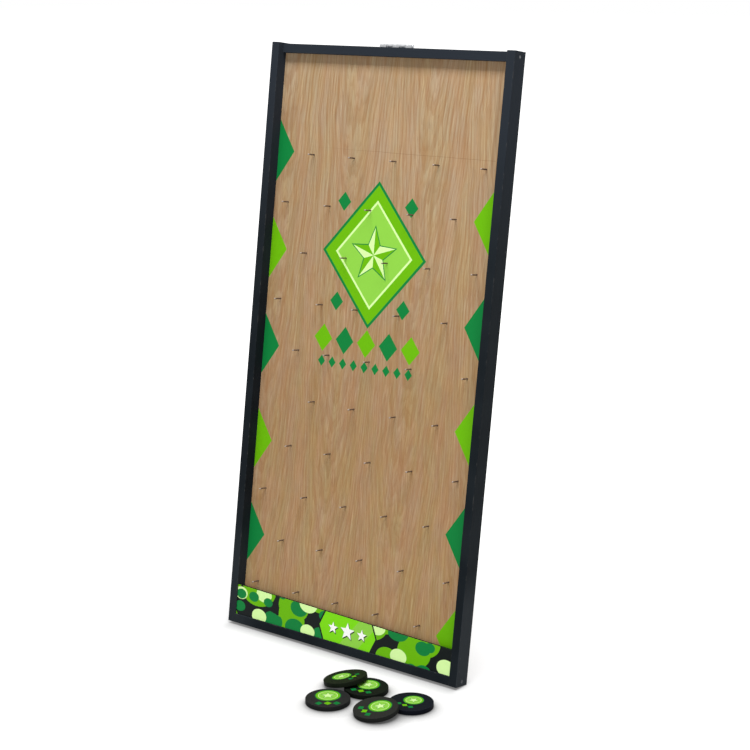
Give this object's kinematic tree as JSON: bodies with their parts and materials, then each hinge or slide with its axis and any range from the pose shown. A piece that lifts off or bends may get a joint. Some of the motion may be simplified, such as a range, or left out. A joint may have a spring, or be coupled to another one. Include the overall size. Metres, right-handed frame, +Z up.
{
  "type": "prize drop game board",
  "caption": "Upright pegged drop board in a timber frame, leaning on a hinged rear leg with a slotted stay, with a catch panel across its foot and loose round discs.",
  "frame": {"origin": "on the floor at the middle of the board's rear bottom edge, the edge that the leaning board stands on", "axes": "+Z up, +X to the right across the board as a player sees it, -Y towards the player; the board leans back towards +Y, where its rear leg stands"},
  "size_m": [0.6263, 0.6368, 1.2518],
  "materials": {
    "painted_rail": "black satin paint",
    "plywood": "clear satin varnish over oak-faced plywood",
    "catch_print": "black satin sheet with a printed pattern",
    "steel": "bright plated steel",
    "dark_steel": "plain steel pin",
    "leg_paint": "black satin paint",
    "disc_black": "black satin with a printed face"
  },
  "bodies": {
    "board": {"left_side_rail": "painted_rail", "right_side_rail": "painted_rail", "bottom_rail": "painted_rail", "top_rail": "painted_rail", "back_panel": "plywood", "catch_panel": "catch_print", "rail_screws": "steel", "back_panel_brads": "steel", "catch_panel_brads": "steel", "hinge_board_leaf": "steel", "hinge_pin": "steel", "hinge_board_screws": "steel", "stay_bracket": "steel", "stay_pin": "steel", "stay_bracket_screws": "steel", "peg_row_1": "dark_steel", "peg_row_2": "dark_steel", "peg_row_3": "dark_steel", "peg_row_4": "dark_steel", "peg_row_5": "dark_steel", "peg_row_6": "dark_steel", "peg_row_7": "dark_steel", "peg_row_8": "dark_steel", "peg_row_9": "dark_steel", "peg_row_10": "dark_steel"},
    "leg": {"rear_leg": "leg_paint", "hinge_leg_leaf": "steel", "hinge_leg_screws": "steel", "stay_pivot_screw": "steel", "stay_spacer": "steel"},
    "stay": {"stay_strap": "steel"},
    "disc_back_middle": {"disc_back_middle": "disc_black"},
    "disc_back_left": {"disc_back_left": "disc_black"},
    "disc_front_left": {"disc_front_left": "disc_black"},
    "disc_right": {"disc_right": "disc_black"},
    "disc_front_middle": {"disc_front_middle": "disc_black"}
  },
  "joints": [
    {"name": "leg_fold", "type": "hinge", "parent": "board", "child": "leg", "pos_m": [-0.008, 0.17965, 1.24752], "axis": [1, 0, 0], "range_deg": [-15, 0]},
    {"name": "stay_turn", "type": "hinge", "parent": "leg", "child": "stay", "pos_m": [-0.05565, 0.26647, 0.65367], "axis": [1, 0, 0], "range_deg": [-7.43, 0]},
    {"name": "disc_back_middle_lift", "type": "slide", "parent": "board", "child": "disc_back_middle", "axis": [0, 0, 1], "range_m": [0, 0.12]},
    {"name": "disc_back_left_lift", "type": "slide", "parent": "disc_back_middle", "child": "disc_back_left", "axis": [0, 0, 1], "range_m": [0, 0.12]},
    {"name": "disc_front_left_lift", "type": "slide", "parent": "board", "child": "disc_front_left", "axis": [0, 0, 1], "range_m": [0, 0.12]},
    {"name": "disc_right_lift", "type": "slide", "parent": "board", "child": "disc_right", "axis": [0, 0, 1], "range_m": [0, 0.12]},
    {"name": "disc_front_middle_lift", "type": "slide", "parent": "disc_right", "child": "disc_front_middle", "axis": [0, 0, 1], "range_m": [0, 0.12]}
  ],
  "couplings": [
    {"joint": "stay_turn", "follows": "leg_fold", "ratio": 0.49205}
  ]
}
